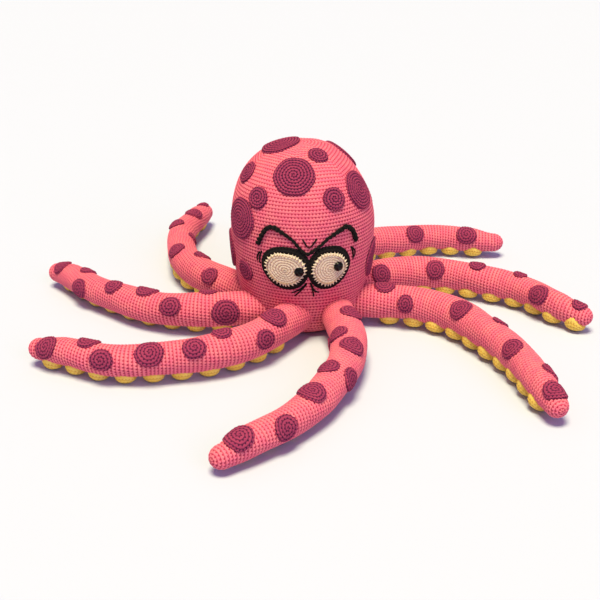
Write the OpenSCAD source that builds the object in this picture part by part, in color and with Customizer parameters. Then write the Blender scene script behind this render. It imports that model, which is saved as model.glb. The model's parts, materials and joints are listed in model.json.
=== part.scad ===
// A stuffed crochet octopus: a dome head with a sewn face, and eight arms that
// each bend where they leave the head and again half-way along.
// Frame: origin on the floor under the head's centre, +Z up, the face looks to -Y.

/* [Head] */
// Height of the head
head_h = 229; // [226:1:233]
// Radius of the head at its widest
head_r = 88; // [86:0.5:90]
// Height of the widest part
waist_z = 121; // [116:1:126]
// Roundness of the crown, 2 is an ellipse
crown_power = 2.2; // [2:0.1:2.4]
// Radius of the flat underside
base_r = 45; // [40:1:50]
// Height of the rounding around the underside
corner_h = 24; // [20:1:28]
// Thickness of the crochet fabric
skin_t = 3.5; // [2.5:0.5:4]

/* [Face] */
// Distance of each eye's centre from the middle of the face
eye_x = 26.5; // [26.3:0.1:27]
// Height of the eyes' centres
eye_z = 97.5; // [96:0.5:99]
// Half the width of a white
white_w = 23.5; // [22:0.5:23.5]
// Half the height of a white
white_h = 23.5; // [22:0.5:23.5]
// Width of the black rim at the side of an eye
rim_side = 2.6; // [2:0.1:2.6]
// Width of the black rim above and below an eye
rim_tall = 4.8; // [4:0.1:5]
// Radius of a safety eye
pupil_r = 6; // [5:0.5:7]
// Width of an eyebrow
brow_w = 4.5; // [3:0.5:5]
// Width of a wrinkle stitch
stitch_w = 1.8; // [1.4:0.1:2]

/* [Arms] */
// Distance of the arm roots from the head's axis
root_ring = 90; // [88:1:94]
// Turn of the ring of arms from the face
ring_turn = 3.5; // [-5:0.5:5]
// Radius of an arm where it leaves the head
arm_r = 21; // [20:0.5:21]
// Radius of an arm near its tip
tip_r = 15.5; // [14:0.5:16]
// Length over which an arm tapers to its tip
taper_len = 260; // [240:10:280]
// Length of each arm from its root joint
arm_len = [355, 355, 330, 320, 330, 345, 315, 340]; // each [300:5:365]
// Angle between each arm's start and straight outward
arm_lean = [-20, 8, -3, -5, -12, -25, -23, -18]; // each [-25:1:10]
// Bend of each arm between its root and its middle
arm_bend = [-34, -56, -53, -53, -46, -42, -46, -47]; // each [-60:1:-30]
// Bend of each arm past its middle
tip_bend = [-23, -17, -33, -29, -26, -26, -16, -40]; // each [-42:1:-10]
// Bend of each arm's last stretch
end_bend = [-3, 4, 26, 12, 10, 8, 19, 10]; // each [-10:1:30]

/* [Suckers] */
// Radius of a sucker
sucker_r = 13; // [11:0.5:13]
// Height of a sucker
sucker_h = 8.6; // [8:0.1:8.7]
// Height of the arms' undersides above the floor
arm_floor = 9; // [9:0.1:10]
// Distance between suckers
sucker_step = 32; // [32:1:34]
// Distance of the first sucker from the root joint
sucker_start = 22; // [20:1:24]

/* [Spots] */
// Thickness of a spot
spot_t = 3.2; // [2:0.1:4]
// Radius of a large spot
spot_large = 25; // [22:1:26]
// Radius of a small spot
spot_small = 13; // [12:1:14]

/* [Hidden] */
arm_count = 8;
sides = 12;              // flats around an arm
flat_fit = 1 / cos(180 / sides);   // corner radius over flat radius
gap = 0.3;               // clearance between pieces that are sewn together
swing_gap = 0.5;         // clearance of a ball in its hollow
root_straight = 25;      // straight stretch after the root joint
mid_straight = 40;       // straight stretch around the middle joint
joint_s = sucker_start + 4.5 * sucker_step;
bend_len = joint_s - mid_straight / 2 - root_straight;
pocket_r = arm_r * flat_fit + swing_gap;
post_r = 2.2;
post_gap = 0.25;
washer_r = 8;
washer_t = 1.5;
washer_depth = skin_t + 0.8;
post_depth = washer_depth + washer_t + 3;
white_t = 3.5;
rim_t = 5;
brow_t = 4.2;
stitch_t = 2;
far = 110;
// Azimuth from the middle of the face, and height, of each safety eye
pupils = [[-7, 97.5], [23, 100.5]];
// Azimuth from the middle of the face, and height, of each spot
big_spots = [[-12, 204], [-98, 226], [120, 204], [59, 180], [-62, 148], [-92, 95], [75, 87],
    [112, 146], [166, 158], [-148, 190], [-128, 120], [152, 88]];
small_spots = [[28, 221], [-77, 197], [-45, 178], [25, 179], [-58, 83], [-120, 160], [108, 94],
    [-164, 136], [-176, 84], [-154, 76], [-180, 207]];
// Right eyebrow from the middle of the face outward, across and up
brow = [[0, 118], [13, 128.5], [25, 138.5], [36, 145], [45, 147], [52, 140], [57, 126.5]];
// Wrinkle stitches on the right half of the face
wrinkles = [[[0.9, 125], [8, 135.5]], [[54.5, 116], [57, 102]], [[59.5, 113], [61, 101]],
    [[3.2, 79], [10, 63]], [[6.2, 76.5], [15, 65.5]]];

ARM_PIECES = ["inner_cover", "inner_stuffing", "inner_suckers", "outer_cover",
    "outer_stuffing", "outer_suckers"];

// ---- the head's surface ----

function lower_x(z) = head_r * sqrt(1 - pow((waist_z - z) / lower_h, 2));
function upper_x(z) = head_r * pow(max(0, 1 - pow((z - waist_z) / (head_h - waist_z),
    crown_power)), 1 / crown_power);
function corner_x(z) = base_r + (lower_x(corner_h) - base_r)
    * sqrt(1 - pow((corner_h - z) / corner_h, 2));
function head_x(z) = z < corner_h ? corner_x(z) : z < waist_z ? lower_x(z) : upper_x(z);
lower_h = 1.39 * waist_z;    // the lower half is part of a taller ellipse

function unit(v) = v / norm(v);
function head_normal(z) = z >= head_h - 0.2 ? [0, 1]
    : unit([0.2, head_x(z) - head_x(z + 0.2)]);
profile_z = concat([for (b = [0, 30, 50, 70]) corner_h * (1 - cos(b))],
    [for (i = [0:3]) corner_h + (waist_z - corner_h) * i / 4],
    [for (a = [0:10:80]) waist_z + (head_h - waist_z) * pow(sin(a), 2 / crown_power)]);

// The head's outline, moved outward by out
function outline(out) = concat([[0, -out]],
    [for (z = profile_z) [head_x(z), z] + out * head_normal(z)], [[0, head_h + out]]);

module head_solid(out) {
    rotate_extrude($fn = 96) polygon(outline(out));
}

module head_layer(from, to) {
    difference() {
        head_solid(to);
        head_solid(from);
    }
}

// Puts its children on the head's surface, +Z outward
module on_head(azimuth, z) {
    n = head_normal(z);
    rotate([0, 0, azimuth])
    translate([0, -head_x(z), z])
    rotate([90 - atan2(n[1], n[0]), 0, 0])
    children();
}

// Cuts an outline drawn in X and Z through one layer of the face
module face_cut(from, to) {
    intersection() {
        head_layer(from, to);
        rotate([90, 0, 0]) translate([0, 0, 20]) linear_extrude(far) children();
    }
}

module oval(w, h) {
    polygon([for (a = [0:10:350]) [w * cos(a), h * sin(a)]]);
}

// A line of width w along a list of points
function side_of(p, i) = let (d = unit(p[min(i + 1, len(p) - 1)] - p[max(i - 1, 0)]))
    [-d[1], d[0]];
module line(p, w) {
    polygon(concat([for (i = [0:len(p) - 1]) p[i] + side_of(p, i) * w / 2],
        [for (i = [len(p) - 1:-1:0]) p[i] - side_of(p, i) * w / 2]));
}

module both_sides() {
    children();
    mirror([1, 0, 0]) children();
}

module root_pockets(r) {
    for (k = [1:arm_count])
        rotate([0, 0, ring_angle(k)]) translate([root_ring, 0, arm_floor + arm_r])
        sphere(r, $fn = 64);
}

// ---- the arms' centrelines ----

function ring_angle(k) = ring_turn - 67.5 + 45 * (k - 1);
function last_len(k) = (arm_len[k - 1] - joint_s - mid_straight / 2) / 2;
// Stretches of an arm: length and bend of each
function stretches(k) = [[root_straight, 0], [bend_len, arm_bend[k - 1]], [mid_straight, 0],
    [last_len(k), tip_bend[k - 1]], [last_len(k), end_bend[k - 1]]];
function along(p, h, d, rate) = abs(rate) < 0.001 ? p + d * [cos(h), sin(h)]
    : p + 180 / (PI * rate) * [sin(h + rate * d) - sin(h), cos(h) - cos(h + rate * d)];
// Point and heading at distance s along an arm, as [x, y, heading]
function walk(st, s, p, h, i = 0) = let (rate = st[i][1] / st[i][0])
    i == len(st) - 1 || s <= st[i][0]
    ? [each along(p, h, s, rate), h + rate * s]
    : walk(st, s - st[i][0], along(p, h, st[i][0], rate), h + st[i][1], i + 1);
function arm_at(k, s) = walk(stretches(k), s,
    root_ring * [cos(ring_angle(k)), sin(ring_angle(k))], ring_angle(k) + arm_lean[k - 1]);

// Radius of an arm of length l at distance s, without its rounded tip
function env_r(s, l) = tip_r + (arm_r - tip_r) * min(1, max(0, (l - max(s, 0)) / taper_len));

// ---- surfaces swept along an arm ----

// A ring of an arm, at distance s and radius r
function ring(k, s, r) = let (c = arm_at(k, s), z = arm_floor + env_r(s, arm_len[k - 1]))
    [for (i = [0:sides - 1]) let (a = 360 * (i + 0.5) / sides)
        [c[0] + r * flat_fit * cos(a) * sin(c[2]), c[1] - r * flat_fit * cos(a) * cos(c[2]),
         z + r * flat_fit * sin(a)]];
function pole(k, s) = let (c = arm_at(k, s))
    [c[0], c[1], arm_floor + env_r(s, arm_len[k - 1])];

// A closed solid whose outline along the arm is a list of [distance, radius],
// with a single point at each end
module swept(k, line) {
    n = len(line) - 2;
    points = concat([pole(k, line[0][0])],
        [for (i = [1:n]) each ring(k, line[i][0], line[i][1])], [pole(k, line[n + 1][0])]);
    last = n * sides + 1;
    faces = concat(
        [for (j = [0:sides - 1]) [0, 1 + (j + 1) % sides, 1 + j]],
        [for (i = [0:n - 2], j = [0:sides - 1]) let (a = 1 + i * sides, b = (j + 1) % sides)
            each [[a + j, a + b, a + sides + j], [a + b, a + sides + b, a + sides + j]]],
        [for (j = [0:sides - 1]) let (a = 1 + (n - 1) * sides)
            [last, a + j, a + (j + 1) % sides]]);
    polyhedron(points, faces, convexity = 4);
}

// Outline of the inner half of an arm: a ball at the root, and a hollow for the outer
// half's ball, all inset by d
function inner_line(k, d) = let (r = arm_r - d, l = arm_len[k - 1],
    mid_r = env_r(joint_s, l), h = mid_r * flat_fit + swing_gap + d, e = mid_r - d,
    rim = joint_s - sqrt(h * h - e * e), rim_a = asin(e / h))
    concat([[-r, 0]], [for (a = [30, 60]) [-r * cos(a), r * sin(a)]],
    [for (i = [0:7]) let (s = (rim - 16) * i / 7) [s, env_r(s, l) - d]], [[rim, e]],
    [for (f = [0.67, 0.33]) [joint_s - h * cos(f * rim_a), h * sin(f * rim_a)]],
    [[joint_s - h, 0]]);

// Outline of the outer half: a ball at the middle joint, and the rounded tip
function outer_line(k, d) = let (l = arm_len[k - 1], r = env_r(joint_s, l) - d,
    t = tip_r - d, end = l - tip_r)
    concat([[joint_s - r, 0]], [for (a = [30, 60]) [joint_s - r * cos(a), r * sin(a)]],
    [for (i = [0:8]) let (s = joint_s + (end - joint_s) * i / 8) [s, env_r(s, l) - d]],
    [for (a = [35, 65]) [end + t * sin(a), t * cos(a)]], [[end + t, 0]]);

// ---- head pieces ----

module head_cover() color("#d6547a") difference() {
    head_solid(0);
    root_pockets(pocket_r);
    difference() {
        head_solid(-skin_t);
        root_pockets(pocket_r + skin_t);
    }
    for (p = pupils)
        on_head(p[0], p[1]) cylinder(h = 3 * skin_t, r = post_r + post_gap, center = true, $fn = 32);
}

module head_stuffing() color("#f4f1ea") difference() {
    head_solid(-skin_t - gap);
    root_pockets(pocket_r + skin_t + gap);
    for (p = pupils)
        on_head(p[0], p[1]) translate([0, 0, -post_depth - 1])
        cylinder(h = post_depth + 1, r = washer_r + 0.6, $fn = 48);
}

module spot_cutters(list, r) {
    for (p = list)
        on_head(p[0], p[1]) cylinder(h = 24, r = r, center = true, $fn = 48);
}

module head_spots() color("#8f3557") intersection() {
    head_layer(gap, gap + spot_t);
    union() {
        spot_cutters(big_spots, spot_large);
        spot_cutters(small_spots, spot_small);
    }
}

module eye_white(side) color("#f1e4d4") difference() {
    face_cut(gap, gap + white_t)
        translate([side * eye_x, eye_z]) oval(white_w - gap, white_h - gap);
    for (p = pupils)
        on_head(p[0], p[1]) cylinder(h = 20, r = post_r + post_gap, center = true, $fn = 32);
}

module eye_rim(side) color("#15110f") face_cut(gap, gap + rim_t)
    translate([side * eye_x, eye_z]) difference() {
        oval(white_w + rim_side, white_h + rim_tall);
        oval(white_w, white_h);
    }

// A domed safety eye on its ribbed post
module safety_eye(i) color("#0b0b0d") on_head(pupils[i][0], pupils[i][1]) {
    base = gap + white_t + 0.4;
    rotate_extrude($fn = 64) polygon(concat(
        [[0, -post_depth], [post_r, -post_depth], [post_r, base], [pupil_r, base]],
        [for (a = [15:15:75]) [pupil_r * cos(a), base + 0.7 * pupil_r * sin(a)]],
        [[0, base + 0.7 * pupil_r]]));
}

module safety_eye_washers() color("#f2f2ee")
    for (p = pupils)
        on_head(p[0], p[1]) translate([0, 0, -washer_depth - washer_t]) difference() {
            cylinder(h = washer_t, r = washer_r, $fn = 48);
            translate([0, 0, -1]) cylinder(h = washer_t + 2, r = post_r + 0.05, $fn = 48);
        }

module eyebrows() color("#15110f") face_cut(gap, gap + brow_t)
    both_sides() line(brow, brow_w);

module face_stitches() color("#15110f") face_cut(gap, gap + stitch_t)
    both_sides() for (w = wrinkles) line(w, stitch_w);

// ---- arm pieces ----

module inner_cover(k) color("#e8657f") difference() {
    swept(k, inner_line(k, 0));
    swept(k, inner_line(k, skin_t));
}

module inner_stuffing(k) color("#f4f1ea") swept(k, inner_line(k, skin_t + gap));

module outer_cover(k) color("#e8657f") difference() {
    swept(k, outer_line(k, 0));
    swept(k, outer_line(k, skin_t));
}

module outer_stuffing(k) color("#f4f1ea") swept(k, outer_line(k, skin_t + gap));

function sucker_count(k) = floor((arm_len[k - 1] - 15 - sucker_start) / sucker_step);

// A domed sucker with a small flat foot, under an arm
module sucker(k, i) {
    foot = 5;
    bulge = 0.7 * sucker_h;
    c = arm_at(k, sucker_start + sucker_step * i);
    translate([c[0], c[1], 0]) rotate_extrude($fn = 48) polygon(concat([[0, 0]],
        [for (a = [0:22.5:90]) [foot + (sucker_r - foot) * sin(a), bulge * (1 - cos(a))]],
        [[sucker_r - 1, sucker_h], [0, sucker_h]]));
}

module suckers(k, from, to) color("#dfa83f")
    for (i = [from:to]) sucker(k, i);

module arm_piece(k, p) {
    if (p == "inner_cover") inner_cover(k);
    if (p == "inner_stuffing") inner_stuffing(k);
    if (p == "inner_suckers") suckers(k, 0, 4);
    if (p == "outer_cover") outer_cover(k);
    if (p == "outer_stuffing") outer_stuffing(k);
    if (p == "outer_suckers") suckers(k, 5, sucker_count(k));
}

head_cover();
head_stuffing();
head_spots();
eye_white(-1);  // eye_white_left
eye_white(1);  // eye_white_right
eye_rim(-1);  // eye_rim_left
eye_rim(1);  // eye_rim_right
safety_eye(0);  // safety_eye_left
safety_eye(1);  // safety_eye_right
safety_eye_washers();
eyebrows();
face_stitches();
for (k = [1:arm_count], p = ARM_PIECES)
    arm_piece(k, p);
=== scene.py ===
"""Looks of a stuffed crochet octopus: stitched skins, suckers, spots and a sewn face."""
import json
import math

import bpy
import numpy as np
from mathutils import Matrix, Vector


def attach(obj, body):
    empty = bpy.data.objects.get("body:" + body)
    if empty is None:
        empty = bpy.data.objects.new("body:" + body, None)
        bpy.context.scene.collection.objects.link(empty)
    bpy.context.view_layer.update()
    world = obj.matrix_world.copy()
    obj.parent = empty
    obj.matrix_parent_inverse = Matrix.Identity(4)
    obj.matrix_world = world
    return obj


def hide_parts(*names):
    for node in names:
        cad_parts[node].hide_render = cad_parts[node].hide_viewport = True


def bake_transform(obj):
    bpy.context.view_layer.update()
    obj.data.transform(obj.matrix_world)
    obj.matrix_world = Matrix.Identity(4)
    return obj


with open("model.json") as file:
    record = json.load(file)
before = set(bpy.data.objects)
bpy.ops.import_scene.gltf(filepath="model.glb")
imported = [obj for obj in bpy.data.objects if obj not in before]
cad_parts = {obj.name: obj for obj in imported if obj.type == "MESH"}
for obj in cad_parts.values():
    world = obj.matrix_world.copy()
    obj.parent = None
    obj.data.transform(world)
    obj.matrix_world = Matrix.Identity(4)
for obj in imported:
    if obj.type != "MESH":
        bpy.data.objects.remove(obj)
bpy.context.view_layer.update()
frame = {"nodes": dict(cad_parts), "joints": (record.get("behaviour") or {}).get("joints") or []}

MM = 0.001

# ---- sizes, in millimetres; those that the CAD has too are close to its own ----

ROW = 4.3              # height of a row of crochet
STITCH = 4.1           # width of a stitch
DRIFT = 0.17           # how far each row's stitches stand past those of the row before, in stitches
HEAD_H, HEAD_R = 229.0, 88.0
WAIST_Z = 121.0
CROWN_POWER = 2.2
LOWER_H = 1.39 * WAIST_Z
BASE_R, CORNER_H = 45.0, 24.0
SPOT_T = 3.0           # thickness of a spot
ARM_R, TIP_R, TAPER = 21.0, 15.5, 260.0
NOSE_R, NOSE_LONG = 12.5, 14.0     # each tip's last rounding: its radius and its length
NOSE_START, NOSE_END = 48.0, 12.0  # an arm narrows to its nose between these distances from its end
ARM_FLOOR = 9.0        # height of the arms' undersides
ROOT_STRAIGHT, MID_STRAIGHT = 25.0, 40.0
SUCKER_R, SUCKER_START, SUCKER_STEP = 13.0, 22.0, 32.0
JOINT_S = SUCKER_START + 4.5 * SUCKER_STEP
SPLIT_S = 96.0         # where an arm's root skin ends and its tip skin begins
SKIN_START = -40.0     # an arm's skin starts well inside the head

# Each arm: length, lean from straight outward, bends to its middle, past it and at its end
ARMS = [
    (355, -20, -34, -23, -3), (355, 8, -56, -17, 4), (330, -3, -53, -33, 26),
    (320, -5, -53, -29, 12), (330, -12, -46, -26, 10), (345, -25, -42, -26, 8),
    (315, -23, -46, -16, 19), (340, -18, -47, -40, 10),
]

# Each arm's suckers lean this far from straight down, toward the arm's right-hand side
SUCKER_ROLL = [34, 22, 14, 10, 0, -16, 20, 4]
# How far each arm sinks onto its suckers
SUNK = [3.5, 1, 1, 1, 0, 0, 1.5, 0]
ROLL_FROM, ROLL_LONG = 20.0, 60.0  # the lean grows from here on, over this length
SINK_FROM, SINK_LONG = 30.0, 80.0  # and so does the sinking

# Each arm's spots: distance along it, angle round it from the top, radius
ARM_SPOTS = [
    [(25, -22, 14), (72, 39, 13), (104, -19, 15), (158, 14, 13), (152, -76, 13), (214, -6, 16),
     (271, -66, 14), (322, -12, 16), (60, 112, 12), (128, 112, 13), (196, 108, 13), (262, 106, 13)],
    [(15, 3, 13), (45, 71, 12), (127, 32, 15), (177, -40, 11), (237, 38, 14), (294, -53, 13),
     (334, -3, 14), (88, -108, 12), (140, -110, 13), (232, -112, 12)],
    [(18, 61, 14), (103, 55, 14), (159, 2, 11), (216, -10, 9), (260, 53, 14), (312, -2, 10),
     (52, -104, 13), (128, -108, 13), (186, -110, 12), (252, -104, 12)],
    [(189, 49, 14), (268, 47, 14), (44, -108, 13), (112, -108, 14), (150, -108, 12), (222, -108, 13),
     (286, -104, 12)],
    [(24, 0, 14), (70, 50, 14), (96, -50, 14), (140, 10, 13), (186, -60, 14), (206, 46, 15),
     (256, -16, 14), (300, 40, 13)],
    [(328, -5, 9), (272, 14, 13), (220, -24, 12), (176, 62, 10), (118, -36, 13), (74, 27, 12),
     (27, -53, 12), (300, -100, 11)],
    [(286, -20, 13), (238, 26, 11), (222, -80, 13), (168, -20, 12), (119, 12, 15), (80, -55, 12.5),
     (38, 24, 12), (18, -80, 17), (66, 112, 13), (156, 110, 13), (204, 110, 12), (270, 108, 11)],
    [(310, -52, 15), (259, 15, 14), (235, -66, 13), (186, -40, 16), (137, -40, 13), (101, 6, 12),
     (58, -71, 12), (28, -14, 16), (70, 106, 12), (158, 108, 13), (214, 110, 13), (288, 106, 12)],
]

# Head spots: azimuth from the face's middle, height, radius
HEAD_SPOTS = [
    (-12, 205, 25.5), (-98, 226, 25), (120, 204, 25), (59, 180, 24.5), (-62, 148, 25.5),
    (-92, 95, 24), (75, 87, 25), (112, 146, 24), (166, 158, 25), (-148, 190, 25),
    (-128, 120, 25), (152, 88, 24), (28, 221, 12.5), (-77, 197, 14), (-45, 178, 13.5),
    (25, 179, 14), (-58, 83, 13.5), (-120, 160, 13), (108, 94, 13), (-164, 136, 13),
    (-176, 84, 13), (-154, 76, 12.5), (-180, 207, 12.5),
]

# The face, in millimetres across (on a cylinder of the head's radius) and up.
# An eye's outline is its radius every 30 degrees, from the viewer's right anticlockwise.
EYES = {
    "left": {"at": (-27.5, 98.5),
             "white": (24, 23.5, 21.5, 20.5, 22.5, 23.5, 23.5, 20.5, 19.5, 19.5, 20.5, 21.5),
             "rim": (29, 31, 30, 28.5, 30, 31.5, 30.5, 27, 26.5, 27, 28.5, 29)},
    "right": {"at": (26.0, 97.5),
              "white": (21.5, 21, 20.5, 20.5, 22, 21.5, 21.5, 20.5, 20.5, 20, 18.5, 19.5),
              "rim": (29, 29.5, 29.5, 29, 30, 28.5, 27.5, 27.5, 28, 27, 26, 26.5)},
}
BROWS = {
    "left": ((-61.5, 126), (-57.5, 136), (-50.5, 146), (-42, 148.5), (-33, 144.5),
             (-19, 135.5), (-6.5, 121.5), (1, 118)),
    "right": ((-1, 118), (14, 128), (22, 134.5), (31, 139.5), (40, 143.5), (49, 146),
              (57, 140.5), (60.5, 133), (62.5, 125.5)),
}
WRINKLES = [
    ((-6.5, 136), (-2.5, 129), (0.8, 125.5)), ((9.5, 136), (5, 130), (0.8, 125.5)),
    ((-57.5, 117), (-60, 110), (-61, 101)), ((-60.5, 115.5), (-64, 109), (-64.5, 103.5)),
    ((56.5, 119), (59, 111), (60, 102)), ((58, 118), (62.5, 112), (61.5, 105)),
    ((-2, 80), (-10, 72.5), (-20, 67)), ((-2.6, 78.5), (-10.5, 69), (-17, 62.5)),
    ((2.8, 80), (5.5, 71.5), (7.5, 61.5)), ((3.4, 79), (7.5, 70.5), (13.5, 66.5)),
]


# ---- small helpers ----

def smooth(t):
    t = np.clip(t, 0, 1)
    return t * t * (3 - 2 * t)


def linear(r, g, b):
    """A colour from its display values, 0 to 255."""
    shares = [c / 255 for c in (r, g, b)]
    return tuple(c / 12.92 if c <= 0.04045 else ((c + 0.055) / 1.055) ** 2.4 for c in shares) + (1.0,)


def loop_curve(values, angle):
    """A smooth closed curve through evenly spaced values, at angles in radians."""
    n = len(values)
    v = np.asarray(values, float)
    x = np.mod(angle / (2 * math.pi) * n, n)
    i = np.floor(x).astype(int)
    f = x - i
    p0, p1, p2, p3 = (v[(i + k) % n] for k in (-1, 0, 1, 2))
    return p1 + 0.5 * f * (p2 - p0 + f * (2 * p0 - 5 * p1 + 4 * p2 - p3
                                          + f * (3 * (p1 - p2) + p3 - p0)))


def path_curve(points, count):
    """count points on a smooth curve through a list of points, evenly spaced."""
    p = np.asarray(points, float)
    q = np.vstack([2 * p[0] - p[1], p, 2 * p[-1] - p[-2]])
    out = []
    for i in range(1, len(q) - 2):
        f = np.linspace(0, 1, 24, endpoint=False)[:, None]
        p0, p1, p2, p3 = q[i - 1], q[i], q[i + 1], q[i + 2]
        out.append(p1 + 0.5 * f * (p2 - p0 + f * (2 * p0 - 5 * p1 + 4 * p2 - p3
                                                  + f * (3 * (p1 - p2) + p3 - p0))))
    out = np.vstack(out + [p[-1:]])
    d = np.r_[0, np.cumsum(np.linalg.norm(np.diff(out, axis=0), axis=1))]
    s = np.linspace(0, d[-1], count)
    return np.stack([np.interp(s, d, out[:, k]) for k in range(out.shape[1])], 1), d[-1]


# ---- the crochet mesh ----

COLUMNS = 5            # mesh columns in a stitch
RINGS = 4              # mesh rings in a row
MIDDLE_LIFT = 0.55     # the stitch height that lies on the smooth surface
POLE_HOLE = 0.4        # distance from a pole to the first ring of stitches


def stitch_height(fu, fv):
    """Height of the yarn over one stitch: the row's rope, two legs that rise from the hole
    at its foot, and the hole."""
    row = np.sin(math.pi * np.clip(fv + 0.04, 0, 1)) ** 0.7
    side = np.minimum(fu, 1 - fu)
    leg = np.exp(-((side - 0.2 - 0.2 * fv) / 0.16) ** 2)
    hole = np.exp(-(side / 0.24) ** 2 - ((fv - 0.1) / 0.3) ** 2)
    return 0.5 * row + 0.45 * leg * (0.4 + 0.6 * row) - 1.15 * hole


class Mesh:
    """Collects vertices, faces and stitch coordinates of one piece."""

    def __init__(self):
        self.points, self.corners, self.sizes, self.uvs = [], [], [], []
        self.count = 0

    def add_points(self, co):
        first = self.count
        self.points.append(np.asarray(co, float).reshape(-1, 3))
        self.count += len(self.points[-1])
        return first

    def add_faces(self, index, uv):
        """index is (faces, corners) and uv is (faces, corners, 2)."""
        if len(index):
            self.corners.append(np.asarray(index).reshape(-1))
            self.sizes.append(np.full(len(index), index.shape[1]))
            self.uvs.append(np.asarray(uv, float).reshape(-1, 2))

    def build(self, name, material):
        co = np.vstack(self.points) * MM
        corners = np.concatenate(self.corners)
        sizes = np.concatenate(self.sizes)
        mesh = bpy.data.meshes.new(name)
        mesh.vertices.add(len(co))
        mesh.vertices.foreach_set("co", co.astype(np.float32).ravel())
        mesh.loops.add(len(corners))
        mesh.loops.foreach_set("vertex_index", corners.astype(np.int32))
        mesh.polygons.add(len(sizes))
        starts = np.r_[0, np.cumsum(sizes)[:-1]]
        mesh.polygons.foreach_set("loop_start", starts.astype(np.int32))
        layer = mesh.uv_layers.new(name="Stitch")
        layer.data.foreach_set("uv", np.vstack(self.uvs).astype(np.float32).ravel())
        mesh.update(calc_edges=True)
        mesh.validate()
        mesh.polygons.foreach_set("use_smooth", np.ones(len(mesh.polygons), bool))
        mesh.materials.append(material)
        obj = bpy.data.objects.new(name, mesh)
        bpy.context.scene.collection.objects.link(obj)
        return obj


def in_order(count, phase):
    """A ring's vertices in the order of their angles, and the angles in turns. The first
    comes again at the end."""
    turn = np.mod((np.arange(count) + phase * COLUMNS) / count, 1)
    order = np.argsort(turn, kind="stable")
    turn = turn[order]
    return np.r_[order, order[0]], np.r_[turn, turn[0] + 1]


def zip_rings(mesh, a, b):
    """Faces between two rings. A ring is (first vertex, columns, phase, v): when the
    columns match they are quads, and otherwise triangles in the order of the angles."""
    (ia, ma, pa, va), (ib, mb, pb, vb) = a, b
    if ma == mb and pa == pb:
        c = np.arange(ma)
        d = (c + 1) % ma
        index = np.stack([ia + c, ib + c, ib + d, ia + d], 1)
        u = np.stack([c, c, c + 1, c + 1], 1) / COLUMNS
        v = np.broadcast_to([va, vb, vb, va], u.shape)
        mesh.add_faces(index, np.stack([u, v], 2))
        return
    (order_a, turn_a), (order_b, turn_b) = in_order(ma, pa), in_order(mb, pb)
    mid_a, mid_b = ((x[1:] + x[:-1]) / 2 for x in (turn_a, turn_b))
    c, j = np.arange(ma), np.searchsorted(mid_b, mid_a)
    index = np.stack([ia + order_a[c], ib + order_b[j], ia + order_a[c + 1]], 1)
    u = np.stack([turn_a[c], turn_b[j], turn_a[c + 1]], 1) * ma / COLUMNS - pa
    mesh.add_faces(index, np.stack([u, np.broadcast_to([va, vb, va], u.shape)], 2))
    c, i = np.arange(mb), np.searchsorted(mid_a, mid_b, side="right")
    index = np.stack([ia + order_a[i], ib + order_b[c], ib + order_b[c + 1]], 1)
    u = np.stack([turn_a[i], turn_b[c], turn_b[c + 1]], 1) * ma / COLUMNS - pa
    mesh.add_faces(index, np.stack([u, np.broadcast_to([va, vb, vb], u.shape)], 2))


TUCK = 1.8             # how far an open edge turns in


def crochet(mesh, place, start, end, row=ROW, stitch=STITCH, depth=1.0, first=0,
            pole_start=False, pole_end=False, least=6):
    """Adds rounds of crochet to mesh. place(t, angle) gives points and normals of the
    smooth surface, where t runs in millimetres from start to end."""
    rows = max(1, int(round((end - start) / row)))
    step = (end - start) / rows
    last = None
    for i in range(rows + 1):
        t = start + step * i
        mid = min(t + step / 2, end)
        probe = np.linspace(0, 2 * math.pi, 25)[:-1]
        ring_points = place(np.full(24, mid), probe)[0]
        round_len = np.linalg.norm(ring_points - np.roll(ring_points, 1, 0), axis=1).sum()
        n = max(least, int(round(round_len / stitch)))
        if i == rows:
            n, phase = last[1] // COLUMNS, last[2]
        else:
            phase = DRIFT * (first + i) % 1
        m = n * COLUMNS
        for k in range(RINGS if i < rows else 1):
            fv = k / RINGS
            tk = t + step * fv
            if i == 0 and k == 0 and pole_start:
                tk = t + POLE_HOLE
            if i == rows and pole_end:
                tk = t - POLE_HOLE
            c = np.arange(m)
            angle = 2 * math.pi * (c / COLUMNS + phase) / n
            co, normal = place(np.full(m, tk), angle)
            lift = stitch_height((c % COLUMNS) / COLUMNS, np.full(m, fv)) - MIDDLE_LIFT
            ring = (mesh.add_points(co + normal * (lift * depth)[:, None]), m, phase,
                    first + i + fv)
            if last is not None:
                zip_rings(mesh, last, ring)
            elif pole_start:
                cap(mesh, ring, place(np.array([start]), np.array([0.0])), depth, True)
            else:
                tucked = mesh.add_points(co - normal * TUCK * depth), m, phase, ring[3] - 0.1
                zip_rings(mesh, tucked, ring)
            last = ring
    if pole_end:
        cap(mesh, last, place(np.array([end]), np.array([0.0])), depth, False)
    else:
        tucked = mesh.add_points(co - normal * TUCK * depth), m, phase, last[3] + 0.1
        zip_rings(mesh, last, tucked)


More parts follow.
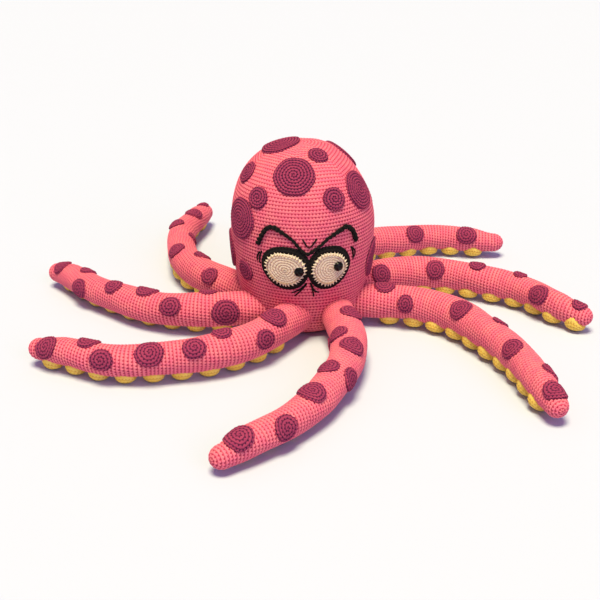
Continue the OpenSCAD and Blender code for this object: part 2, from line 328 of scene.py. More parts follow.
def spiral(mesh, place, total, row, stitch, depth, turned=0.0):
    """Adds one long row of crochet, wound in a spiral from the middle of a disc outward."""
    angles = [0.0]
    while angles[-1] < 2 * math.pi * (total / row + 1):
        radius = max(row * (angles[-1] / (2 * math.pi) - 0.5), row * 0.4)
        angles.append(angles[-1] + stitch / COLUMNS / radius)
    angle = np.array(angles)
    m = len(angle)
    inner = row * (angle / (2 * math.pi) - 1)
    stitches = np.arange(m) / COLUMNS
    tucks = [(-0.08, -TUCK)] + [(k / RINGS, None) for k in range(RINGS + 1)] + [(1.08, -TUCK)]
    rings = []
    for fv, sunk in tucks:
        t = np.clip(inner + row * fv, 0, total)
        co, normal = place(t, angle + turned)
        if sunk is None:
            lift = stitch_height(stitches % 1, np.full(m, fv)) - MIDDLE_LIFT
        else:
            lift = np.full(m, sunk)
        rings.append((mesh.add_points(co + normal * (lift * depth)[:, None]), fv))
    c = np.arange(m - 1)
    for (ia, va), (ib, vb) in zip(rings, rings[1:]):
        index = np.stack([ia + c, ib + c, ib + c + 1, ia + c + 1], 1)
        u = np.stack([c, c, c + 1, c + 1], 1) / COLUMNS
        v = np.broadcast_to(np.clip([va, vb, vb, va], 0, 0.999), u.shape)
        mesh.add_faces(index, np.stack([u, v], 2))


def cap(mesh, ring, place, depth, at_start):
    """Closes a small ring with a fan to one sunken point."""
    co, normal = place
    first = mesh.add_points(co - normal * depth)
    i, m, _, v = ring
    c = np.arange(m)
    order = (i + (c + 1) % m, i + c) if not at_start else (i + c, i + (c + 1) % m)
    index = np.stack([np.full(m, first), order[0], order[1]], 1)
    u = np.stack([c + 0.5, c + (not at_start), c + at_start], 1) / COLUMNS
    mesh.add_faces(index, np.stack([u, np.full(u.shape, v)], 2))


def tube(mesh, points, normals, radius, sides=10, twist=0.0, strands=0, groove=0.0):
    """Adds a closed tube along points; strands twist round it and dig in by groove."""
    p = np.asarray(points, float)
    n = len(p)
    along = np.gradient(p, axis=0)
    along /= np.linalg.norm(along, axis=1)[:, None]
    side = np.cross(along, normals)
    side /= np.linalg.norm(side, axis=1)[:, None]
    up = np.cross(side, along)
    d = np.r_[0, np.cumsum(np.linalg.norm(np.diff(p, axis=0), axis=1))]
    radius = np.broadcast_to(radius, n)
    a = np.arange(sides) * 2 * math.pi / sides
    last = None
    for i in range(n):
        r = radius[i] * (1 + groove * (np.abs(np.cos(strands * a / 2 + twist * d[i])) - 0.6))
        co = p[i] + np.outer(r * np.cos(a), side[i]) + np.outer(r * np.sin(a), up[i])
        ring = (mesh.add_points(co), sides, 0.0, d[i] / ROW)
        if last is not None:
            zip_rings(mesh, ring, last)
        else:
            end_fan(mesh, ring, p[i] - along[i] * radius[i] * 0.6, True)
        last = ring
    end_fan(mesh, last, p[-1] + along[-1] * radius[-1] * 0.6, False)


def end_fan(mesh, ring, tip, at_start):
    first = mesh.add_points(tip)
    i, m, _, v = ring
    c = np.arange(m)
    pair = (i + c, i + (c + 1) % m) if at_start else (i + (c + 1) % m, i + c)
    index = np.stack([np.full(m, first), pair[0], pair[1]], 1)
    u = np.stack([c, c, c], 1) / COLUMNS
    mesh.add_faces(index, np.stack([u, np.full(u.shape, v)], 2))


# ---- the head's surface ----

def head_radius(z):
    z = np.asarray(z, float)
    lower = HEAD_R * np.sqrt(np.clip(1 - ((WAIST_Z - z) / LOWER_H) ** 2, 0, 1))
    edge = HEAD_R * math.sqrt(1 - ((WAIST_Z - CORNER_H) / LOWER_H) ** 2)
    corner = BASE_R + (edge - BASE_R) * np.sqrt(np.clip(1 - ((CORNER_H - z) / CORNER_H) ** 2, 0, 1))
    rise = np.clip((z - WAIST_Z) / (HEAD_H - WAIST_Z), 0, 1)
    upper = HEAD_R * (1 - rise ** CROWN_POWER) ** (1 / CROWN_POWER)
    return np.where(z < CORNER_H, corner, np.where(z < WAIST_Z, lower, upper))


def head_profile():
    """The head's outline from its crown to the middle of its underside: distance along
    it, radius, height, and the outward normal."""
    rise = np.sin(np.linspace(math.pi / 2, 0, 400)) ** (2 / CROWN_POWER)
    z = np.r_[WAIST_Z + (HEAD_H - WAIST_Z) * rise, np.linspace(WAIST_Z, CORNER_H, 200)[1:],
              CORNER_H * (1 - np.sin(np.linspace(0, math.pi / 2, 60)[1:]))]
    r = head_radius(z)
    r[0] = 0
    r = np.r_[r, np.linspace(BASE_R, 0, 40)[1:]]
    z = np.r_[z, np.zeros(39)]
    s = np.r_[0, np.cumsum(np.hypot(np.diff(r), np.diff(z)))]
    keep = np.r_[True, np.diff(s) > 1e-6]
    s, r, z = s[keep], r[keep], z[keep]
    even = np.linspace(0, s[-1], 900)
    r, z = np.interp(even, s, r), np.interp(even, s, z)
    soft = np.ones(15) / 15
    nr, nz = -np.gradient(z), np.gradient(r)
    nr, nz = (np.convolve(np.pad(x, 7, mode="edge"), soft, "valid") for x in (nr, nz))
    nr[0] = nr[-1] = 0
    length = np.hypot(nr, nz)
    return even, r, z, nr / length, nz / length


PROFILE = head_profile()
CROWN_LEAN = 2.2       # how far the crown leans to one side


def lumps(azimuth, z):
    """The stuffing's slow unevenness, in millimetres."""
    return (0.5 * np.sin(3 * azimuth + z / 31) + 0.4 * np.sin(5 * azimuth - z / 23 + 1)
            + 0.3 * np.sin(2 * azimuth + z / 17 + 2))


def head_at(s, azimuth, out=0.0):
    """Points and normals of the head at distance s from the crown. Azimuth is from the
    middle of the face toward +X."""
    S, R, Z, NR, NZ = PROFILE
    r, z, nr, nz = (np.interp(s, S, x) for x in (R, Z, NR, NZ))
    swell = lumps(azimuth, z) * smooth(z / 30) * smooth(r / 25) + out
    normal = np.stack([nr * np.sin(azimuth), -nr * np.cos(azimuth), nz], 1)
    co = np.stack([r * np.sin(azimuth) - CROWN_LEAN * smooth((z - 130) / 70),
                   -r * np.cos(azimuth), z], 1)
    return co + normal * np.broadcast_to(swell, len(co))[:, None], normal


def face_at(across, up, out=0.0):
    """Points and normals on the face, from its flat measures."""
    S, _, Z, _, _ = PROFILE
    s = np.interp(-np.asarray(up, float), -Z[:800], S[:800])
    return head_at(s, np.asarray(across, float) / HEAD_R, out)


def patch_on_head(azimuth, z):
    """A chart round one point of the head: (p, q, out) to points and normals."""
    S, R, Z, NR, NZ = PROFILE
    a = math.radians(azimuth)
    k = int(np.argmin(np.abs(Z[:800] - z)))
    radial = np.array([math.sin(a), -math.cos(a), 0])
    normal = NR[k] * radial + NZ[k] * np.array([0, 0, 1])
    right = np.array([math.cos(a), math.sin(a), 0])
    up = np.cross(normal, right)
    middle = R[k] * radial + Z[k] * np.array([0, 0, 1])

    def chart(p, q, out):
        flat = middle + np.outer(p, right) + np.outer(q, up)
        r = np.hypot(flat[:, 0], flat[:, 1])
        near = np.argmin((R[None, ::4] - r[:, None]) ** 2
                         + (Z[None, ::4] - flat[:, 2:3]) ** 2, axis=1)
        # one smooth step from the nearest sample of the outline to the nearest place
        i = near * 4
        tangent = np.stack([NZ[i], -NR[i]], 1)
        slip = (r - R[i]) * tangent[:, 0] + (flat[:, 2] - Z[i]) * tangent[:, 1]
        return head_at(S[i] + slip, np.arctan2(flat[:, 0], -flat[:, 1]), out)
    return chart


# ---- an arm's surface ----

class Arm:
    """One arm's centreline and surface, from its joints in the frame and its bends."""

    def __init__(self, number):
        self.length, lean, *bends = ARMS[number - 1]
        self.name = f"arm{number}"
        joints = {j["name"]: j for j in frame["joints"]}
        self.root = np.array(joints[self.name + "_lift"]["pos_m"]) / MM
        self.middle = np.array(joints[self.name + "_curl"]["pos_m"]) / MM
        heading = math.degrees(math.atan2(self.root[1], self.root[0])) + lean
        last = (self.length - JOINT_S - MID_STRAIGHT / 2) / 2
        bend_len = JOINT_S - MID_STRAIGHT / 2 - ROOT_STRAIGHT
        knots = np.cumsum([0, ROOT_STRAIGHT, bend_len, MID_STRAIGHT, last, last])
        turned = heading + np.cumsum([0, 0, bends[0], 0, bends[1], bends[2]])
        self.s = np.arange(SKIN_START - 10, self.length + 20, 0.5)
        self.heading = np.radians(np.interp(self.s, knots, turned))
        mid = (self.heading[1:] + self.heading[:-1]) / 2
        x = np.r_[0, np.cumsum(np.cos(mid))] * 0.5
        y = np.r_[0, np.cumsum(np.sin(mid))] * 0.5
        zero = np.interp(0, self.s, x), np.interp(0, self.s, y)
        self.x, self.y = x - zero[0] + self.root[0], y - zero[1] + self.root[1]
        self.phase = number * 1.7
        self.roll = math.radians(SUCKER_ROLL[number - 1])
        self.sunk = SUNK[number - 1]

    def radius(self, s):
        left = self.length - np.maximum(s, 0)
        return (TIP_R + (ARM_R - TIP_R) * np.clip(left / TAPER, 0, 1)
                - (TIP_R - NOSE_R) * smooth((NOSE_START - left) / (NOSE_START - NOSE_END)))

    def centre(self, s):
        """Centre, direction and right-hand side of the arm at s."""
        x, y = np.interp(s, self.s, self.x), np.interp(s, self.s, self.y)
        h = np.interp(s, self.s, self.heading)
        zero = np.zeros_like(x)
        z = ARM_FLOOR + self.radius(s) - self.sunk * smooth((s - SINK_FROM) / SINK_LONG)
        return (np.stack([x, y, z], 1),
                np.stack([np.cos(h), np.sin(h), zero], 1),
                np.stack([np.sin(h), -np.cos(h), zero], 1))

    def at(self, t, angle, out=0.0):
        """Points and normals at distance t along the skin, round the tip's dome at the
        end, and at an angle from the top."""
        end = self.length - NOSE_LONG
        a = np.clip((t - end) / NOSE_LONG, 0, math.pi / 2)
        s = np.minimum(t, end)
        co, along, right = self.centre(s)
        radial = right * np.sin(angle)[:, None] + np.array([0, 0, 1]) * np.cos(angle)[:, None]
        r = self.radius(s)
        swell = (0.35 * np.sin(2 * angle + t / 19 + self.phase)
                 + 0.3 * np.sin(3 * angle - t / 13 + 2 * self.phase)) * smooth((end - t) / 30)
        normal = radial * np.cos(a)[:, None] + along * np.sin(a)[:, None]
        co = co + radial * (r * np.cos(a))[:, None] + along * (NOSE_LONG * np.sin(a))[:, None]
        return co + normal * (swell + out)[:, None], normal

    def blend_points(self, s, half):
        co, along, _ = self.centre(np.array([float(s)]))
        return tuple((co[0] - along[0] * half) * MM), tuple((co[0] + along[0] * half) * MM)


# ---- flat crocheted discs ----

DISC_ROW, DISC_STITCH = 3.7, 4.1
DISC_EDGE = 2.6        # rounding at a disc's edge
DISC_UNDER = 1.2       # how far the edge tucks under the surface
DISC_SCALLOP = 0.4     # reach of the edge's stitches
DISC_DEPTH = 0.85      # depth of its stitches


def disc(mesh, chart, radius, thick, turned):
    """Adds a disc worked in a spiral, wrapped on a surface by chart(p, q, out). Its six
    increases a round give it faint corners."""
    flat = radius - DISC_EDGE
    arc = math.pi / 2 * (DISC_EDGE + thick) / 2
    total = flat + arc + DISC_UNDER
    scallops = round(2 * math.pi * radius / DISC_STITCH)

    def place(t, angle):
        turn = np.clip((t - flat) / arc, 0, 1) * math.pi / 2
        corner = 1 + 0.015 * np.cos(6 * angle) * smooth(t / 8) + 0.008 * np.cos(2 * angle + radius)
        rho = (np.minimum(t, flat) + DISC_EDGE * np.sin(turn)) * corner
        rho = rho + DISC_SCALLOP * np.cos(scallops * angle) * smooth((t - flat + 1.5) / 2)
        out = thick * np.cos(turn) - np.maximum(0, t - flat - arc)
        p, q = rho * np.cos(angle), rho * np.sin(angle)
        co, normal = chart(p, q, out)
        rim, _ = chart(p * 1.02 + 1e-3 * np.cos(angle), q * 1.02 + 1e-3 * np.sin(angle), out)
        side = rim - co
        side /= np.linalg.norm(side, axis=1)[:, None]
        return co, normal * np.cos(turn)[:, None] + side * np.sin(turn)[:, None]
    spiral(mesh, place, total, DISC_ROW, DISC_STITCH, DISC_DEPTH, turned)


# ---- materials ----

class Nodes:
    """Builds a node tree in a few words."""

    def __init__(self, material):
        material.use_nodes = True
        self.tree = material.node_tree
        self.tree.nodes.clear()

    def new(self, kind, **settings):
        node = self.tree.nodes.new(kind)
        for key, value in settings.items():
            setattr(node, key, value)
        return node

    def put(self, socket, value):
        if hasattr(value, "is_output"):
            self.tree.links.new(value, socket)
        else:
            socket.default_value = value

    def math(self, operation, a, b=0.0, c=None):
        node = self.new("ShaderNodeMath", operation=operation)
        self.put(node.inputs[0], a)
        self.put(node.inputs[1], b)
        if c is not None:
            self.put(node.inputs[2], c)
        return node.outputs[0]

    def ramp(self, value, low, high, to_low=0.0, to_high=1.0):
        """value from low..high to to_low..to_high, with soft ends."""
        node = self.new("ShaderNodeMapRange", interpolation_type="SMOOTHSTEP")
        for key, v in zip(("Value", "From Min", "From Max", "To Min", "To Max"),
                          (value, low, high, to_low, to_high)):
            self.put(node.inputs[key], v)
        return node.outputs[0]

    def mix(self, amount, a, b):
        node = self.new("ShaderNodeMix", data_type="RGBA")
        self.put(node.inputs["Factor"], amount)
        self.put(node.inputs["A"], a)
        self.put(node.inputs["B"], b)
        return node.outputs["Result"]

    def noise(self, vector, scale, detail=2.0):
        node = self.new("ShaderNodeTexNoise")
        self.put(node.inputs["Vector"], vector)
        node.inputs["Scale"].default_value = scale
        node.inputs["Detail"].default_value = detail
        return node.outputs["Fac"]


def yarn(name, colour, deep, worn, holes=1.0, grooves=0.55, groove_width=0.2,
         roughness=0.92, sheen=0.35):
    """Crocheted yarn, with painted shade in its holes and grooves. Stitch coordinates count stitches
    across and rows up.
    """
    material = bpy.data.materials.new(name)
    n = Nodes(material)
    uv = n.new("ShaderNodeUVMap", uv_map="Stitch").outputs[0]
    split = n.new("ShaderNodeSeparateXYZ")
    n.put(split.inputs[0], uv)
    u, v = split.outputs[0], split.outputs[1]
    fu, fv = n.math("FRACT", u), n.math("FRACT", v)
    side = n.math("MINIMUM", fu, n.math("SUBTRACT", 1.0, fu))
    # the deep hole at the foot of each stitch, which narrows upward; it sinks the bump and is darkened
    # with painted shade
    across = n.math("DIVIDE", side, n.math("MULTIPLY_ADD", fv, -0.2, 0.3))
    height = n.math("DIVIDE", n.math("SUBTRACT", fv, 0.14), 0.3)
    far = n.math("ADD", n.math("MULTIPLY", across, across), n.math("MULTIPLY", height, height))
    hole = n.ramp(far, 0.35, 1.4, holes, 0.0)
    # the next row's hole, which stands a little past this one
    past = n.math("ABSOLUTE", n.math("SUBTRACT", n.math("FRACT", n.math("ADD", fu, 0.5 - DRIFT)), 0.5))
    next_side = n.math("DIVIDE", past, 0.26)
    next_height = n.math("DIVIDE", n.math("SUBTRACT", 1.0, fv), 0.16)
    next_far = n.math("ADD", n.math("MULTIPLY", next_side, next_side),
                      n.math("MULTIPLY", next_height, next_height))
    hole = n.math("MAXIMUM", hole, n.ramp(next_far, 0.3, 1.3, 0.9 * holes, 0.0))
    # the groove between two rows
    edge = n.math("MINIMUM", fv, n.math("SUBTRACT", 1.0, fv))
    groove = n.ramp(edge, 0.0, groove_width, grooves, 0.0)
    # holes and grooves together: they sink the bump and carry the painted shade
    shaded_hollows = n.math("MAXIMUM", hole, groove)
    # the two legs of the stitch and the plies of their yarn
    lean = n.math("MULTIPLY_ADD", fv, 0.24, 0.14)
    off_leg = n.math("ABSOLUTE", n.math("SUBTRACT", side, lean))
    leg = n.ramp(off_leg, 0.0, 0.15, 1.0, 0.0)
    slant = n.math("MULTIPLY_ADD", side, 5.0, n.math("MULTIPLY", fv, 3.0))
    ply = n.math("SINE", n.math("MULTIPLY", slant, 2 * math.pi))
    fluff = n.noise(uv, 9.0, 4.0)
    patch = n.noise(uv, 0.35, 2.0)
    tone = n.mix(n.ramp(patch, 0.3, 0.7), colour, worn)
    # painted shade: holes and grooves darken toward the deep colour, which stands in for the shade that
    # falls in them
    tone = n.mix(n.math("MULTIPLY", shaded_hollows, 0.85), tone, deep)
    # random flecks of fluff, tinted toward the same colour
    tone = n.mix(n.ramp(fluff, 0.35, 0.75, 0.0, 0.22), tone, deep)
    raised = n.math("MULTIPLY_ADD", leg, 0.5, n.math("MULTIPLY", ply, 0.16))
    raised = n.math("MULTIPLY_ADD", fluff, 0.5, raised)
    raised = n.math("SUBTRACT", raised, n.math("MULTIPLY", shaded_hollows, 0.9))
    bump = n.new("ShaderNodeBump")
    bump.inputs["Strength"].default_value = 0.7
    bump.inputs["Distance"].default_value = 0.8 * MM
    n.put(bump.inputs["Height"], raised)
    shader = n.new("ShaderNodeBsdfPrincipled")
    n.put(shader.inputs["Base Color"], tone)
    n.put(shader.inputs["Roughness"], n.ramp(fluff, 0.2, 0.8, roughness - 0.08, roughness + 0.05))
    shader.inputs["Sheen Weight"].default_value = sheen
    shader.inputs["Sheen Roughness"].default_value = 0.5
    shader.inputs["Sheen Tint"].default_value = colour
    shader.inputs["Specular IOR Level"].default_value = 0.2
    n.put(shader.inputs["Normal"], bump.outputs[0])
    out = n.new("ShaderNodeOutputMaterial")
    n.put(out.inputs[0], shader.outputs[0])
    return material


def plastic(name, colour, roughness, gloss, scuffs):
    """Moulded plastic with a faint unevenness in its gloss."""
    material = bpy.data.materials.new(name)
    n = Nodes(material)
    where = n.new("ShaderNodeTexCoord").outputs["Object"]
    fine = n.noise(where, scuffs, 3.0)
    bump = n.new("ShaderNodeBump")
    bump.inputs["Strength"].default_value = 0.05
    bump.inputs["Distance"].default_value = 0.1 * MM
    n.put(bump.inputs["Height"], fine)
    shader = n.new("ShaderNodeBsdfPrincipled")
    n.put(shader.inputs["Base Color"], n.mix(fine, colour, tuple(1.3 * c for c in colour[:3]) + (1,)))
    n.put(shader.inputs["Roughness"], n.ramp(fine, 0.3, 0.7, roughness, roughness + 0.06))
    shader.inputs["Specular IOR Level"].default_value = gloss
    n.put(shader.inputs["Normal"], bump.outputs[0])
    out = n.new("ShaderNodeOutputMaterial")
    n.put(out.inputs[0], shader.outputs[0])
    return material


# Each yarn: its colour, the painted shade colour (deep) for its holes and grooves, and a worn tone that
# comes and goes at random
PINK = yarn("pink_yarn", linear(250, 118, 146), linear(170, 0, 62), linear(255, 136, 150),
            grooves=0.74, groove_width=0.24, sheen=0.25)
PLUM = yarn("plum_yarn", linear(158, 54, 94), linear(24, 4, 52), linear(174, 64, 98),
            grooves=0.72, groove_width=0.28, sheen=0.25)
YELLOW = yarn("yellow_yarn", linear(255, 212, 96), linear(206, 136, 36), linear(255, 222, 116), holes=0.7)
CREAM = yarn("cream_yarn", linear(242, 222, 196), linear(190, 136, 102), linear(244, 228, 210),
             holes=0.6, grooves=0.85, groove_width=0.24)
BLACK = yarn("black_yarn", linear(20, 16, 18), linear(5, 4, 5), linear(28, 23, 24), sheen=0.1)
BLACK_PLASTIC = plastic("black_plastic", (0.003, 0.0025, 0.003, 1), 0.06, 0.18, 300.0)
WHITE_PLASTIC = plastic("white_plastic", (0.72, 0.72, 0.69, 1), 0.35, 0.5, 200.0)


# ---- pieces ----

SKIN_DEPTH = 0.9       # depth of the stitches of a skin or a rim


def finished(obj, slot, *replaced):
    if replaced:
        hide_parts(*replaced)
    return obj


def head_skin():
    """The head's skin, in two pieces that meet in a groove at its waist."""
    length, z = PROFILE[0][-1], PROFILE[2]
    waist = ROW * round(float(np.interp(-WAIST_Z, -z[:800], PROFILE[0][:800])) / ROW)

    def place(t, angle):
        azimuth = math.pi - angle
        six = np.mod(azimuth + 0.3, math.pi / 3) - math.pi / 6
        corner = (math.cos(math.pi / 6) / np.cos(six) - 0.95) * (1 - smooth((t - 40) / 70))
        return head_at(np.clip(t * (1 + 0.7 * corner), 0, length), azimuth)

    for part, start, end in (("upper", 0, waist), ("lower", waist, length)):
        mesh = Mesh()
        crochet(mesh, place, start, end, first=round(start / ROW), depth=SKIN_DEPTH,
                pole_start=part == "upper", pole_end=part == "lower")
        obj = finished(mesh.build(f"head_{part}_skin", PINK), "pink_crochet",
                       "head_cover", "head_stuffing")
        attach(obj, "head")


def head_spots():
    for i, (azimuth, z, radius) in enumerate(HEAD_SPOTS):
        mesh = Mesh()
        disc(mesh, patch_on_head(azimuth, z), radius, SPOT_T, i * 2.4)
        obj = finished(mesh.build(f"head_spot_{i + 1}", PLUM), "plum_crochet", "head_spots")
        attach(obj, "head")


WHITE_FOOT, WHITE_T = 1.6, 2.4     # a white's foot above the head, and its thickness
WHITE_EDGE = 2.4                   # rounding at a white's edge
WHITE_SIDE = 3.0                   # length of skin down a white's edge
TEETH = 33                         # stitches that reach over a white's rim
TOOTH_ROOT, TOOTH_REACH = 2.6, 1.5     # a tooth's length inside the edge, and past it
TOOTH_R, TOOTH_TIP_R = 1.25, 0.5
TOOTH_Z = 4.0                      # a tooth's height above the head
RIM_H, RIM_FOOT = 3.4, 0.6         # a rim's height, and how far its edges sink
RIM_UNDER = 3.0                    # how far a rim reaches under its white
RIM_SKIN = 12.0                    # length of skin across a rim


def eye(name, at, white, rim):
    """The white, worked in rounds, whose stitches reach over its black rim like teeth."""
    def chart(radius, angle, out):
        return face_at(at[0] + radius * np.cos(angle), at[1] + radius * np.sin(angle), out)

    mean = sum(white) / len(white)

    def white_place(t, angle):
        full = loop_curve(white, angle)
        turn = np.clip((t - mean) / WHITE_SIDE, 0, 1) * math.pi / 2
        radius = np.minimum(t / mean, 1) * (full - WHITE_EDGE) + WHITE_EDGE * np.sin(turn)
        out = WHITE_FOOT + WHITE_T * np.cos(turn)
        co, normal = chart(radius, angle, out)
        away, _ = chart(radius + 1, angle, out)
        return co, normal * np.cos(turn)[:, None] + (away - co) * np.sin(turn)[:, None]

    mesh = Mesh()
    crochet(mesh, white_place, 0, mean + WHITE_SIDE, row=3.6, stitch=4.0, depth=0.75, pole_start=True)
    for i in range(TEETH):
        angle = np.full(7, 2 * math.pi * (i + 0.2 * math.sin(5 * i)) / TEETH)
        share = np.linspace(0, 1, 7)
        full = loop_curve(white, angle)
        reach = TOOTH_REACH + 0.35 * math.sin(3 * i + 1)
        radius = full - TOOTH_ROOT + (TOOTH_ROOT + reach) * share
        co, normal = chart(radius, angle + 0.03 * share, TOOTH_Z - 0.5 * share ** 3)
        thick = TOOTH_R - (TOOTH_R - TOOTH_TIP_R) * share ** 1.5
        tube(mesh, co, normal, thick, sides=8, twist=1.2, strands=3, groove=0.25)
    obj = finished(mesh.build("eye_white_" + name + "_crochet", CREAM), "cream_crochet",
                   "eye_white_" + name)
    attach(obj, "head")

    def rim_place(t, angle):
        inner = loop_curve(white, angle) - RIM_UNDER
        outer = loop_curve(rim, angle)
        turn = t / RIM_SKIN * math.pi
        radius = inner + (outer - inner) * (1 - np.cos(turn)) / 2
        out = RIM_H * np.sin(turn) ** 0.7 - RIM_FOOT
        co, normal = chart(radius, angle, out)
        away, _ = chart(radius + 1, angle, out)
        return co, normal * np.sin(turn)[:, None] - (away - co) * np.cos(turn)[:, None]

    mesh = Mesh()
    crochet(mesh, rim_place, 0, RIM_SKIN, row=4.0, stitch=4.0, depth=SKIN_DEPTH)
    obj = finished(mesh.build("eye_rim_" + name + "_crochet", BLACK), "black_crochet",
                   "eye_rim_" + name)
    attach(obj, "head")


BROW_THIN_R, BROW_THICK_R = 1.75, 2.7      # at the nose, and over the eye
WRINKLE_R, WRINKLE_TIP_R = 1.05, 0.7


def brows():
    for name, points in BROWS.items():
        flat, length = path_curve(points, 120)
        share = np.linspace(0, 1, len(flat))
        outer = 1 - share if name == "left" else share
        along = share * length
        radius = BROW_THIN_R + (BROW_THICK_R - BROW_THIN_R) * smooth((outer - 0.3) / 0.35)
        radius = radius * (1 + 0.09 * np.sin(along * 1.35))
        co, normal = face_at(flat[:, 0], flat[:, 1], radius * 0.7)
        mesh = Mesh()
        tube(mesh, co, normal, radius, sides=14, twist=0.55, strands=2, groove=0.5)
        obj = finished(mesh.build("brow_" + name, BLACK), "black_crochet", "eyebrows")
        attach(obj, "head")


def wrinkles():
    mesh = Mesh()
    for points in WRINKLES:
        flat, _ = path_curve(points, 16)
        share = np.linspace(0, 1, len(flat))
        out = 1.1 * np.sin(math.pi * share) ** 0.4 - 0.2
        co, normal = face_at(flat[:, 0], flat[:, 1], out)
        radius = WRINKLE_R - (WRINKLE_R - WRINKLE_TIP_R) * share
        tube(mesh, co, normal, radius, sides=8, twist=1.6, strands=3, groove=0.4)
    obj = finished(mesh.build("wrinkle_stitches", BLACK), "black_crochet", "face_stitches")
    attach(obj, "head")


ROOT_HALF = 17.0       # half of the stretch round the root joint that join works out but does not use
MIDDLE_HALF = 24.0     # half of the stretch round the middle joint that join works out but does not use


def join(arm, obj, part):
    """Bakes a piece of an arm into its place. The stretch round the root joint or the middle joint is
    worked out but not used, so nothing bends.
    """
    if part == "root":
        start, end = arm.blend_points(0, ROOT_HALF)
        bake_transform(obj)
    else:
        start, end = arm.blend_points(JOINT_S, MIDDLE_HALF)
        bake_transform(obj)


def arm_skins(arm):
    rows = round((SPLIT_S - SKIN_START) / ROW)

    def from_below(t, angle):
        return arm.at(t, angle + math.pi)

    tip_end = arm.length - NOSE_LONG + NOSE_LONG * math.pi / 2
    mesh = Mesh()
    crochet(mesh, from_below, SKIN_START, SPLIT_S, depth=SKIN_DEPTH)
    obj = finished(mesh.build(arm.name + "_root_skin", PINK), "pink_crochet",
                   arm.name + "_inner_cover", arm.name + "_inner_stuffing")
    join(arm, obj, "root")
    mesh = Mesh()
    crochet(mesh, from_below, SPLIT_S, tip_end, first=rows, depth=SKIN_DEPTH, pole_end=True)
    obj = finished(mesh.build(arm.name + "_tip_skin", PINK), "pink_crochet",
                   arm.name + "_outer_cover", arm.name + "_outer_stuffing")
    join(arm, obj, "tip")


SUCKER_ROUND = 24.0    # length from the middle of a sucker's foot to its sewn edge
SUCKER_HEM = 4.0       # the last of that length, which tucks into the arm
FOOT_REACH = 8.0       # a leaning sucker's greatest reach from its arm's skin
FOOT_HALF = 4.5        # half-width of a sucker's flattened foot
FOOT_GAP = 0.6         # a sucker's foot stays this far above the floor


def sucker(mesh, arm, s):
    """A stuffed dome worked in rounds, sewn on under the arm with its edge along the skin."""
    co, along, right = (x[0] for x in arm.centre(np.array([s])))
    arm_r = float(arm.radius(s))
    roll = arm.roll * float(smooth((s - ROLL_FROM) / ROLL_LONG))
    down = -math.cos(roll) * np.array([0, 0, 1.0]) + math.sin(roll) * right
    side = math.cos(roll) * right + math.sin(roll) * np.array([0, 0, 1.0])
    # the dome's foot stays above the floor, however far it leans
    lowest = co[2] - FOOT_GAP
    foot = lowest
    if abs(roll) > 0.1:
        foot = min(arm_r + FOOT_REACH, (lowest - FOOT_HALF * abs(math.sin(roll))) / math.cos(roll))

    def place(t, angle):
        turn = np.clip(t / (SUCKER_ROUND - SUCKER_HEM), 0, 1) * math.pi / 2
        over = np.maximum(0, t - (SUCKER_ROUND - SUCKER_HEM))
        r = SUCKER_R * np.sin(turn) ** 0.85 - 0.25 * over
        across = -r * np.sin(angle)
        skin = np.sqrt(np.maximum(0, arm_r ** 2 - across ** 2))
        deep = foot - (foot - skin + 0.5) * (1 - np.cos(turn) ** 0.75) - 0.5 * over
        out = np.outer(np.cos(angle), along) - np.outer(np.sin(angle), side)
        slope = np.sin(turn) ** 1.5
        normal = out * slope[:, None] + np.outer(np.sqrt(1 - slope ** 2), down)
        points = co + out * r[:, None] + np.outer(deep, down)
        points[:, 2] = np.maximum(points[:, 2], 0.4)
        return points, normal
    crochet(mesh, place, 0, SUCKER_ROUND, row=3.9, stitch=4.1, depth=0.5, pole_start=True)


def arm_suckers(arm):
    count = int((arm.length - 15 - SUCKER_START) // SUCKER_STEP) + 1
    places = [SUCKER_START + SUCKER_STEP * i for i in range(count)]
    for part, cad in (("root", "_inner_suckers"), ("tip", "_outer_suckers")):
        mesh = Mesh()
        for s in places:
            if (s < SPLIT_S) == (part == "root"):
                sucker(mesh, arm, s)
        obj = finished(mesh.build(f"{arm.name}_{part}_suckers", YELLOW), "yellow_crochet",
                       arm.name + cad)
        join(arm, obj, part)


def arm_spots(arm, spots):
    for part in ("root", "tip"):
        mesh = Mesh()
        for s, angle, radius in spots:
            if (s < SPLIT_S) != (part == "root"):
                continue

            def chart(p, q, out, s=s, angle=angle):
                r = arm.radius(s + p)
                return arm.at(s + p, math.radians(angle) + q / r, out)
            disc(mesh, chart, radius, SPOT_T, s)
        obj = finished(mesh.build(f"{arm.name}_{part}_spots", PLUM), "plum_crochet")
        join(arm, obj, part)


def cad_materials():
    for name, material in (("safety_eye_left", BLACK_PLASTIC), ("safety_eye_right", BLACK_PLASTIC),
                           ("safety_eye_washers", WHITE_PLASTIC)):
        data = frame["nodes"][name].data
        data.materials.clear()
        data.materials.append(material)


# ---- the setting ----

CAMERA_BACK, CAMERA_HEIGHT, CAMERA_SIDE = 1.380, 0.635, -0.003     # in metres
CAMERA_TURN, CAMERA_TILT = -4.5, 24.0      # in degrees
LENS = 71.4
FLOOR_HALF = 40.0      # half the side of the floor, in metres
FLOOR_GAP = 0.0005     # how far the floor lies under the toy, in metres


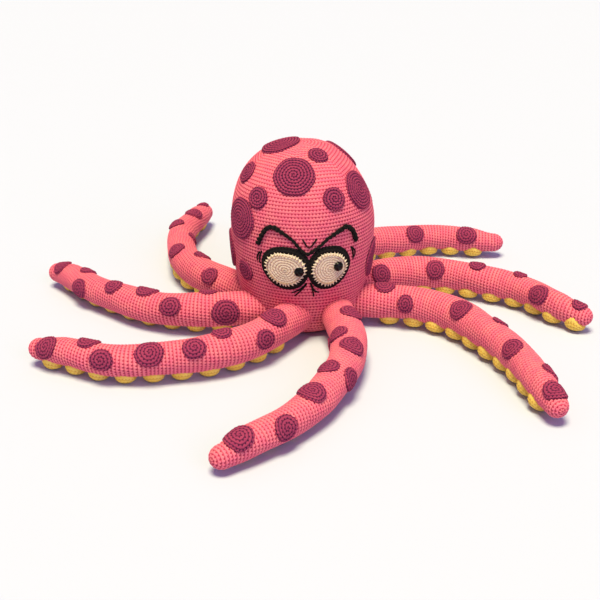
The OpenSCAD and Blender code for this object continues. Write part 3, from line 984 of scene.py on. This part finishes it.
def camera():
    data = bpy.data.cameras.new("camera")
    data.lens = LENS
    data.sensor_width = 36.0
    obj = bpy.data.objects.new("camera", data)
    turn = math.radians(CAMERA_TURN)
    obj.location = (CAMERA_SIDE * math.cos(turn) + CAMERA_BACK * math.sin(turn),
                    CAMERA_SIDE * math.sin(turn) - CAMERA_BACK * math.cos(turn), CAMERA_HEIGHT)
    obj.rotation_euler = (math.radians(90 - CAMERA_TILT), 0, turn)
    bpy.context.scene.collection.objects.link(obj)
    bpy.context.scene.camera = obj


def sun(name, place, spread, power, colour):
    """A soft far light that shines from a place toward the origin."""
    data = bpy.data.lights.new(name, "SUN")
    data.angle = math.radians(spread)
    data.energy = power
    data.color = colour
    obj = bpy.data.objects.new(name, data)
    obj.location = place
    obj.rotation_euler = (-Vector(place)).to_track_quat("-Z", "Y").to_euler()
    bpy.context.scene.collection.objects.link(obj)


def setting():
    """The floor, the even light all round and two suns."""
    mesh = bpy.data.meshes.new("floor")
    corners = [(x * FLOOR_HALF, y * FLOOR_HALF, 0) for x, y in ((-1, -1), (1, -1), (1, 1), (-1, 1))]
    mesh.from_pydata(corners, [], [(0, 1, 2, 3)])
    material = bpy.data.materials.new("pale_floor")
    n = Nodes(material)
    shader = n.new("ShaderNodeBsdfPrincipled")
    shader.inputs["Base Color"].default_value = (0.55, 0.58, 0.76, 1)
    shader.inputs["Roughness"].default_value = 0.9
    out = n.new("ShaderNodeOutputMaterial")
    n.put(out.inputs[0], shader.outputs[0])
    mesh.materials.append(material)
    floor = bpy.data.objects.new("floor", mesh)
    floor.location = (0, 0, -FLOOR_GAP)
    bpy.context.scene.collection.objects.link(floor)
    world = bpy.data.worlds.new("studio")
    world.use_nodes = True
    world.node_tree.nodes["Background"].inputs[0].default_value = (0.78, 0.68, 1.0, 1)
    world.node_tree.nodes["Background"].inputs[1].default_value = 0.38
    bpy.context.scene.world = world
    bpy.context.scene.view_settings.view_transform = "Standard"
    sun("key", place=(-0.15, -0.5, 2.0), spread=24, power=4.7, colour=(1.0, 0.95, 0.56))
    sun("fill", place=(0.9, -1.6, 1.0), spread=30, power=0.6, colour=(0.66, 0.58, 1.0))


camera()
setting()
head_skin()
head_spots()
for eye_name, eye_data in EYES.items():
    eye(eye_name, **eye_data)
brows()
wrinkles()
for number in range(1, len(ARMS) + 1):
    one = Arm(number)
    arm_skins(one)
    arm_suckers(one)
    arm_spots(one, ARM_SPOTS[number - 1])
cad_materials()
